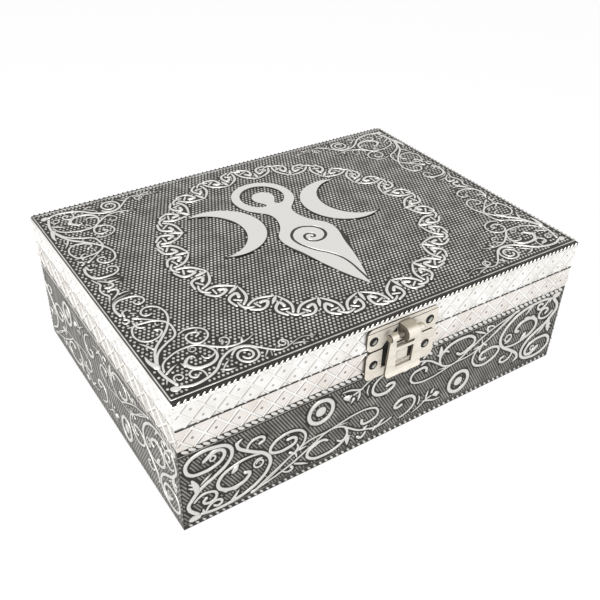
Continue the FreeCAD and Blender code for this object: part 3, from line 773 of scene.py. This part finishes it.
def bright_aluminium(place_on_box, hollow, line):
    # The same sheet left bright and lacquered: near white, with painted shade in grey at the feet of its
    # ribs and in the fine lines beside them; its punched dots take the same grey
    material, place = new_material(f"bright_embossed_aluminium_{place_on_box}")
    proud = add(material, "Attribute", out="Fac", attribute_name="proud")
    blotch = add(material, "TexNoise", {"Vector": place, "Scale": 1 / 0.009, "Detail": 4.0})
    grain = add(material, "TexNoise", {"Vector": place, "Scale": 1 / 0.0008, "Detail": 2.0})
    # Painted shade: the line colour at low heights greys the feet of the ribs and the shadow lines beside
    # them
    tone = add(material, "ValToRGB", {"Fac": proud}, stops=[
        (0.0, hollow), (0.02, hollow), (0.06, line), (0.25, line), (0.5, "#FAFAF8"),
    ])
    veil = add(material, "ValToRGB", {"Fac": blotch}, stops=[(0.3, "#F1EEEA"), (0.65, "#FFFFFF")])
    colour = add(material, "Mix", {0: 1.0, 6: tone, 7: veil}, 2, data_type="RGBA", blend_type="MULTIPLY")
    rough = add(material, "MapRange", {0: blotch, 1: 0.3, 2: 0.7, 3: 0.3, 4: 0.42})
    relief = add(material, "Bump", {"Height": grain, "Strength": 0.2, "Distance": 0.00005})
    return finish_with(material, add(material, "BsdfPrincipled", {
        "Base Color": colour, "Roughness": rough, "Metallic": 0.9, "Normal": relief,
    }))


def nickel_plate(name, light, worn, dull_and_shade, side_shade):
    # Pressed steel with thin nickel plate: a warm, pale, matt metal on its flat faces. Faces that don't
    # face front are grey-brown, partly unpolished bends and partly painted shade; faces that face across
    # are browner with painted shade, and holes and gaps are painted near black by ambient occlusion
    material, place = new_material(name)
    normal = add(material, "TexCoord", out="Normal")
    drawn = add(material, "Mapping", {"Vector": place, "Scale": (1.0, 1.0, 6.0)})
    streak = add(material, "TexNoise", {"Vector": drawn, "Scale": 1 / 0.0035, "Detail": 4.0})
    grain = add(material, "TexNoise", {"Vector": drawn, "Scale": 1 / 0.0007, "Detail": 2.0})
    ahead = add(material, "SeparateXYZ", {"Vector": normal}, out="Y")
    aside = add(material, "SeparateXYZ", {"Vector": normal}, out="X")
    front = add(material, "Math", {0: ahead}, operation="ABSOLUTE")
    side = add(material, "Math", {0: aside}, operation="ABSOLUTE")
    facing_front = add(material, "MapRange", {0: front, 1: 0.35, 2: 0.8})
    facing_across = add(material, "MapRange", {0: side, 1: 0.6, 2: 0.9})
    face = add(material, "ValToRGB", {"Fac": streak}, stops=[(0.3, worn), (0.55, light)])
    # Painted shade: faces that face across take the side colour, and other faces that don't face front the
    # dull one
    off_front_dull_and_shade = add(material, "Mix", {0: facing_across, 6: linear(dull_and_shade), 7: linear(side_shade)}, 2, data_type="RGBA")
    metal = add(material, "Mix", {0: facing_front, 6: off_front_dull_and_shade, 7: face}, 2, data_type="RGBA")
    # Painted shade: ambient occlusion mixes in near black where holes and gaps are
    reach = add(material, "AmbientOcclusion", {"Distance": 0.0025}, "AO", samples=8)
    crevice_shade_mix = add(material, "MapRange", {0: reach, 1: 0.4, 2: 0.75})
    colour = add(material, "Mix", {0: crevice_shade_mix, 6: linear("#0E0B08"), 7: metal}, 2, data_type="RGBA")
    rough = add(material, "MapRange", {0: streak, 1: 0.3, 2: 0.7, 3: 0.6, 4: 0.72})
    relief = add(material, "Bump", {"Height": grain, "Strength": 0.15, "Distance": 0.00004})
    return finish_with(material, add(material, "BsdfPrincipled", {
        "Base Color": colour, "Roughness": rough, "Metallic": 0.6, "Normal": relief,
    }))


def nail_steel():
    # Small domed nails, plated and scuffed by the hammer: cooler than the plates, with dull flecks
    material, place = new_material("plated_nail_steel")
    fleck = add(material, "TexNoise", {"Vector": place, "Scale": 1 / 0.0009, "Detail": 3.0})
    colour = add(material, "ValToRGB", {"Fac": fleck}, stops=[(0.3, "#8F8C86"), (0.6, "#CFCCC6")])
    rough = add(material, "MapRange", {0: fleck, 1: 0.3, 2: 0.7, 3: 0.45, 4: 0.25})
    relief = add(material, "Bump", {"Height": fleck, "Strength": 0.3, "Distance": 0.0001})
    return finish_with(material, add(material, "BsdfPrincipled", {
        "Base Color": colour, "Roughness": rough, "Metallic": 1.0, "Normal": relief,
    }))


def pine():
    # Sawn softwood under the sheet: pale yellow-brown with darker late-wood lines about 2.5 mm apart
    material, place = new_material("sawn_pine")
    along = add(material, "Mapping", {"Vector": place, "Scale": (0.12, 1.0, 1.0)})
    ring = add(material, "TexWave", {
        "Vector": along, "Scale": 1 / 0.0125, "Distortion": 5.0, "Detail": 3.0, "Detail Scale": 1.2,
    }, "Fac", bands_direction="Z")
    colour = add(material, "ValToRGB", {"Fac": ring}, stops=[(0.2, "#B98A58"), (0.75, "#DDB888")])
    relief = add(material, "Bump", {"Height": ring, "Strength": 0.3, "Distance": 0.0001})
    return finish_with(material, add(material, "BsdfPrincipled", {
        "Base Color": colour, "Roughness": 0.65, "Normal": relief,
    }))


def velvet():
    # Short cut pile, glued flat: near black looking into it, soft grey where the pile is brushed over
    material, place = new_material("black_cotton_velvet")
    brushed = add(material, "TexNoise", {"Vector": place, "Scale": 1 / 0.022, "Detail": 3.0})
    pile = add(material, "TexNoise", {"Vector": place, "Scale": 1 / 0.0004, "Detail": 2.0})
    colour = add(material, "ValToRGB", {"Fac": brushed}, stops=[(0.35, "#121113"), (0.65, "#232226")])
    relief = add(material, "Bump", {"Height": pile, "Strength": 0.7, "Distance": 0.0003})
    return finish_with(material, add(material, "BsdfPrincipled", {
        "Base Color": colour, "Roughness": 0.95, "Sheen Weight": 0.6, "Sheen Roughness": 0.4,
        "Sheen Tint": linear("#8C8A92"), "Specular IOR Level": 0.2, "Normal": relief,
    }))


def felt():
    # Pressed wool felt: matt dark grey with matted fibres about half a millimetre across
    material, place = new_material("pressed_wool_felt")
    fibre = add(material, "TexNoise", {
        "Vector": place, "Scale": 1 / 0.0006, "Detail": 4.0, "Distortion": 1.5,
    })
    colour = add(material, "ValToRGB", {"Fac": fibre}, stops=[(0.3, "#1B1B1C"), (0.7, "#333335")])
    relief = add(material, "Bump", {"Height": fibre, "Strength": 0.8, "Distance": 0.0003})
    return finish_with(material, add(material, "BsdfPrincipled", {
        "Base Color": colour, "Roughness": 1.0, "Sheen Weight": 0.3, "Normal": relief,
    }))


FINISHES = {
    "antiqued_aluminium": antiqued_aluminium("antiqued_embossed_aluminium", "#2A2825", "#3E3B38"),
    "bright_aluminium": bright_aluminium("lid", "#FCFCFB", "#C2C0BC"),
    "nickel_plate": nickel_plate("nickel_plated_steel", "#DCD6CC", "#CEC7BB", "#A1988A", "#6B6257"),
    "nail_steel": nail_steel(),
    "wood": pine(),
    "velvet": velvet(),
    "felt": felt(),
}
# Painted shade: a darker copy of the nickel for the hasp's pin, which lies in shade between the hasp's ear
# and hood
PIN_PAINTED_SHADE_FINISH = nickel_plate("nickel_on_steel_painted_shade", "#8A8176", "#6E665C", "#5E564C", "#8A8176")
# Painted shade: the rim's copy of the bright sheet, greyer and with darker lines than the lid's
RIM_PAINTED_SHADE_FINISH = bright_aluminium("rim", "#F1ECE8", "#9A948D")
# Painted shade: blackened sheet put in the catch's gaps and slots, where its shade falls
GAP_PAINTED_SHADE_FINISH = antiqued_aluminium("painted_shade_black_aluminium", "#0B0A08", "#12100E")
# Painted light and shade: copies of the finishes for the left side, as it is lit, with paler lines on its
# bands, a greyer rim band and a panel whose ground is painted paler
LEFT_PAINTED_LIGHT_FINISH = antiqued_aluminium("antiqued_embossed_aluminium_left_painted_light", "#4A4743", "#625F5A")
LEFT_LID_PAINTED_LIGHT_FINISH = bright_aluminium("lid_left", "#FBFBFA", "#E6E5E3")
LEFT_RIM_PAINTED_LIGHT_FINISH = bright_aluminium("rim_left", "#DDDAD6", "#B5B1AC")


# Cloth pieces

SLAB_ROUNDING = 0.3  # of a slab's edges, as a share of its thickness
WAVE_SIZE = 9.0  # of its unevenness, in millimetres
WALL_WAVES, FLOOR_WAVES, FELT_WAVES = 0.12, 0.15, 0.05  # heights of the unevenness, in millimetres


def cloth_slab(node, unevenness):
    """A soft-edged, slightly uneven slab in the space of a node's plain one."""
    low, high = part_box(node)
    size, middle = (high - low) / MM, (low + high) / 2
    bpy.ops.object.select_all(action="DESELECT")
    bpy.ops.mesh.primitive_cube_add(size=1, location=(0, 0, 0))
    slab = bpy.context.object
    bpy.ops.object.mode_set(mode="EDIT")
    bpy.ops.transform.resize(value=size, center_override=(0, 0, 0))
    bpy.ops.mesh.bevel(offset=SLAB_ROUNDING * min(size), segments=2, affect="EDGES")
    bpy.ops.mesh.select_all(action="SELECT")
    bpy.ops.mesh.subdivide(number_cuts=14)
    bpy.ops.object.mode_set(mode="OBJECT")
    waves = bpy.data.textures.new("uneven", "CLOUDS")
    waves.noise_scale = WAVE_SIZE
    apply_modifier(slab, "DISPLACE", texture=waves, strength=unevenness, mid_level=0.9)
    slab.matrix_world = Matrix.Translation(middle) @ Matrix.Scale(MM, 4)
    bpy.ops.object.transform_apply()
    return slab


def cloth(name, nodes, body, slot, unevenness):
    """Cloth glued to boards, which stands for the plain slabs of its nodes."""
    piece = join([cloth_slab(node, unevenness) for node in nodes])
    piece.name = piece.data.name = name
    bpy.ops.object.shade_smooth_by_angle(angle=math.radians(60))
    piece.data.materials.append(FINISHES[slot])
    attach(piece, body)
    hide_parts(*nodes)


# The box, piece by piece

FIELD = (HALF_LENGTH - 1.0, HALF_WIDTH - 2.0)  # half-sizes of the stippled ground
DOT_SHEEN = 0.74  # share of the full rubbing that the small bumps of the ground get
SLOT_SHADE_THICKNESS = 0.3  # thickness of the black sheet of painted shade seen in the slots of the catch's plates
LID_SLOTS = [(-7.05, -5.05, 46.25, 50.85), (1.05, 3.05, 46.25, 50.85)]
BOX_SLOTS = [(-9.05, -5.05, 37.3, 45.45), (1.05, 5.05, 37.3, 45.45)]
# Painted shadow on the catch's plates: a dark wedge behind the hasp's left leg, and dark crescents round
# the nails
LEG_PAINTED_SHADOW = [(-9.6, 46.25), (-6.2, 50.5), (-3.5, 53.0), (-3.5, 50.8), (-5.05, 50.8), (-5.05, 46.25)]
LID_RECESSES, BOX_RECESSES = [(-13.39, 50.29), (11.61, 50.29)], [(-12.64, 39.69), (10.86, 39.69)]
RECESS_RADIUS = 1.86
SHADE_PATCH_RISE = (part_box("lid_front_strip")[0].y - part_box("hasp_plate_nails")[0].y) / MM + 0.03
# Plain bright edge at the foot of the lid's fold, by its width
HEM = {"front": 1.1, "right": 0.9, "back": 0.9, "left": 1.7}
# Painted shade: a dark line at the foot of the lid's bands, for the shade in the gap between lid and box,
# with its width at the left, the middle and the right
SEAM_SHADE, SEAM_HEIGHT, SEAM_RISE = (0.8, 0.34, 0.6), LID_FOOT + 0.2, 0.9
# Lattices of the rim and of the lid's sides: their foot, their head and the height of a row of dots
RIM_LATTICE = (PANEL_HEAD + 0.1, RIM_HEAD - 0.2, 41.0)
LID_LATTICE = (LID_FOOT + 0.3, FOLD_FOOT - 0.1, 52.9)
# From the ends of a side to its lattices, and to what is on the lid's fold
LATTICE_MARGIN, FOLD_MARGIN = 0.6, 0.5
FOLD_ROPE = {
    "middle": FOLD_FOOT + 1.45, "tilt": 55, "length": 2.5, "width": 0.95, "rise": 0.5,
    "pitch": FOLD_PITCH,
}
ALL_DARK_TOP = 9  # a height for full rubbing that leaves a piece dark all over, given to the pieces of painted shade
ALUMINIUM, BRIGHT = FINISHES["antiqued_aluminium"], FINISHES["bright_aluminium"]
# CAD nodes, and the reliefs on them, that have another finish than their slot's
SPECIAL = {f"{side}_rim_strip": RIM_PAINTED_SHADE_FINISH for side in ACROSS}
SPECIAL.update(
    left_rim_strip=LEFT_RIM_PAINTED_LIGHT_FINISH, lid_left_strip=LEFT_LID_PAINTED_LIGHT_FINISH, left_panel_sheet=LEFT_PAINTED_LIGHT_FINISH,
    hasp_pin=PIN_PAINTED_SHADE_FINISH,
)

scrolls, ring, badge = lid_scrollwork(), knot_ring(), emblem()
relief = join([copy_of(scrolls), copy_of(ring), copy_of(badge)])
field = stipple(*FIELD, relief)
bpy.data.objects.remove(relief)
settle(field, "lid_stippled_ground", TOP_PLACE, "lid", ALUMINIUM,
       top=DOT_RISE / DOT_SHEEN)
settle(scrolls, "lid_corner_scrolls", TOP_PLACE, "lid", ALUMINIUM)
settle(ring, "lid_knot_ring", TOP_PLACE, "lid", ALUMINIUM)
settle(badge, "lid_emblem", TOP_PLACE, "lid", ALUMINIUM, top=EMBLEM_RISE, smooth=35)

for sides in (("front", "back"), ("right", "left")):
    span = HALF_SPAN[sides[0]]
    flat_panel = panel(span)
    end = span - FOLD_MARGIN
    flat_rim = lattice(span - LATTICE_MARGIN, *RIM_LATTICE)
    flat_band = lattice(span - LATTICE_MARGIN, *LID_LATTICE)
    flat_rope = rope(end, **FOLD_ROPE)
    flat_seam_shade = emboss([([(x, SEAM_HEIGHT) for x in (-end, 0, end)], SEAM_SHADE)], rise=SEAM_RISE)
    for side in sides:
        fold = side_place(side, "lid_top_sheet")
        band = side_place(side, f"lid_{side}_strip")
        bright = SPECIAL.get(f"lid_{side}_strip", BRIGHT)
        hem = [(-end, FOLD_FOOT + HEM[side] / 2), (end, FOLD_FOOT + HEM[side] / 2)]
        settle(copy_of(flat_panel), f"{side}_panel_relief", side_place(side, f"{side}_panel_sheet"), "box",
               SPECIAL.get(f"{side}_panel_sheet", ALUMINIUM))
        settle(copy_of(flat_rim), f"{side}_rim_lattice", side_place(side, f"{side}_rim_strip"), "box",
               SPECIAL[f"{side}_rim_strip"])
        settle(copy_of(flat_band), f"lid_{side}_lattice", band, "lid", bright)
        settle(emboss([(hem, 3 * [HEM[side]])]), f"lid_{side}_hem", fold, "lid",
               bright, top=HEM[side] * STROKE_RISE / 4)
        if side != "left":
            settle(copy_of(flat_rope), f"lid_{side}_rope", fold, "lid", ALUMINIUM)
            # Painted shade along the gap under the lid's band
            settle(copy_of(flat_seam_shade), f"lid_{side}_seam", band, "lid",
                   ALUMINIUM, top=ALL_DARK_TOP)
    for flat in (flat_panel, flat_rim, flat_band, flat_rope, flat_seam_shade):
        bpy.data.objects.remove(flat)

# Painted shade on the catch: black sheets in the slots of its plates, a shadow wedge behind the hasp's leg
# on the lid, and crescents in the nail recesses
for body, node, slots, recesses in (("lid", "lid_front_strip", LID_SLOTS, LID_RECESSES),
                                    ("box", "front_rim_strip", BOX_SLOTS, BOX_RECESSES)):
    shade_patches = []
    for left, right, low, high in slots:
        corners = [(left, low), (right, low), (right, high), (left, high)]
        shade_patches.append(plate([corners], SLOT_SHADE_THICKNESS, sharp=corners))
    for x, z in recesses:
        rim = curl((x, z), RECESS_RADIUS, 20, 0.64, inner=1)
        crescent_edge = rim + arc(rim[-1], (x, z), rim[0], 6)[1:]
        shade_patches.append(plate([crescent_edge], SHADE_PATCH_RISE, sharp=(rim[0], rim[-1])))
    if body == "lid":
        shade_patches.append(plate([LEG_PAINTED_SHADOW], SHADE_PATCH_RISE, sharp=LEG_PAINTED_SHADOW))
    settle(join(shade_patches), f"{body}_catch_painted_shade", side_place("front", node), body,
           GAP_PAINTED_SHADE_FINISH, top=ALL_DARK_TOP)

for side in ACROSS:
    lining = f"{side}_lining"
    cloth(f"{side}_velvet", [lining], "box", "velvet",
          WALL_WAVES)
cloth("floor_velvet", ["floor_lining"], "box", "velvet",
      FLOOR_WAVES)
turned_down = [f"lid_{side}_lining" for side in ACROSS]
cloth("lid_velvet", ["lid_lining", *turned_down], "lid", "velvet",
      WALL_WAVES)
cloth("base_felt_sheet", ["base_felt"], "box", "felt",
      FELT_WAVES)

# Finishes of the CAD nodes, by the record's slots
NODE_SLOTS = {
    "wood": ("board", "rail"), "antiqued_aluminium": ("panel_sheet", "top_sheet"),
    "bright_aluminium": ("strip",), "nail_steel": ("nails",),
    "nickel_plate": ("leaf", "pin", "plate", "hasp"),
}
for name, node in frame["nodes"].items():
    for slot, endings in NODE_SLOTS.items():
        if name.endswith(endings):
            node.data.materials.clear()
            node.data.materials.append(SPECIAL.get(name, FINISHES[slot]))


# Floor, light and camera

def seen_by(owner, *rays):
    """One where a ray is of one of these kinds, and zero elsewhere."""
    seen = add(owner, "LightPath", out=rays[0])
    for ray in rays[1:]:
        seen = add(owner, "Math", {0: seen, 1: add(owner, "LightPath", out=ray)}, operation="MAXIMUM")
    return seen


def floor():
    # Matt white board, seen a little lighter than it is lit, so that it runs into the white behind it
    bpy.ops.object.select_all(action="DESELECT")
    bpy.ops.mesh.primitive_plane_add(size=6, location=(0, 0, 0))
    board = bpy.context.object
    board.name = "floor"
    material = new_material("matt_white_board")[0]
    seen = seen_by(material, "Is Camera Ray", "Is Glossy Ray")
    share = add(material, "Math", {0: seen, 1: 0.9}, operation="MULTIPLY")
    lit = add(material, "BsdfDiffuse", {"Color": linear("#F4F4F3")})
    glow = add(material, "Emission", {"Color": linear("#FFFFFF"), "Strength": 1.0})
    finish_with(material, add(material, "MixShader", {0: share, 1: lit, 2: glow}))
    board.data.materials.append(material)


def world():
    sky = bpy.data.worlds.new("studio")
    bpy.context.scene.world = sky
    sky.use_nodes = True
    sky.node_tree.nodes.clear()
    seen = seen_by(sky, "Is Camera Ray", "Is Glossy Ray", "Is Transmission Ray")
    strength = add(sky, "MapRange", {0: seen, 1: 0.0, 2: 1.0, 3: 0.6, 4: 1.0})
    light = add(sky, "Background", {"Color": linear("#FFFFFF"), "Strength": strength})
    add(sky, "OutputWorld", {"Surface": light})


def lamp(name, place, target, size, energy):
    light = bpy.data.lights.new(name, "AREA")
    light.size = size
    light.energy = energy
    holder = bpy.data.objects.new(name, light)
    bpy.context.collection.objects.link(holder)
    holder.location = place
    holder.rotation_euler = (Vector(target) - Vector(place)).to_track_quat("-Z", "Y").to_euler()


def camera():
    """The photograph's view: from the left and above, turned a little, with the whole box in frame."""
    azimuth, elevation, roll = math.radians(-34.54), math.radians(35.6), math.radians(1.93)
    flat = math.cos(elevation)
    back = Vector((math.sin(azimuth) * flat, -math.cos(azimuth) * flat, math.sin(elevation)))
    right = Vector((math.cos(azimuth), math.sin(azimuth), 0))
    up = back.cross(right)
    level = Matrix((
        math.cos(roll) * right + math.sin(roll) * up, math.cos(roll) * up - math.sin(roll) * right, back,
    ))
    holder = bpy.data.objects.new("camera", bpy.data.cameras.new("camera"))
    bpy.context.collection.objects.link(holder)
    holder.data.sensor_width = 36
    holder.data.lens = 46.93
    place = level.transposed().to_4x4()
    place.translation = Vector((-0.1523, -0.2211, 0.2156))
    holder.matrix_world = place
    bpy.context.scene.camera = holder


floor()
world()
lamp("key", (-0.2, -0.6, 0.9), (0, 0, 0.03), 0.6, 9)
lamp("fill", (-1.1, -0.3, 0.5), (0, 0, 0.03), 0.8, 9)
camera()
bpy.context.scene.view_settings.view_transform = "Standard"
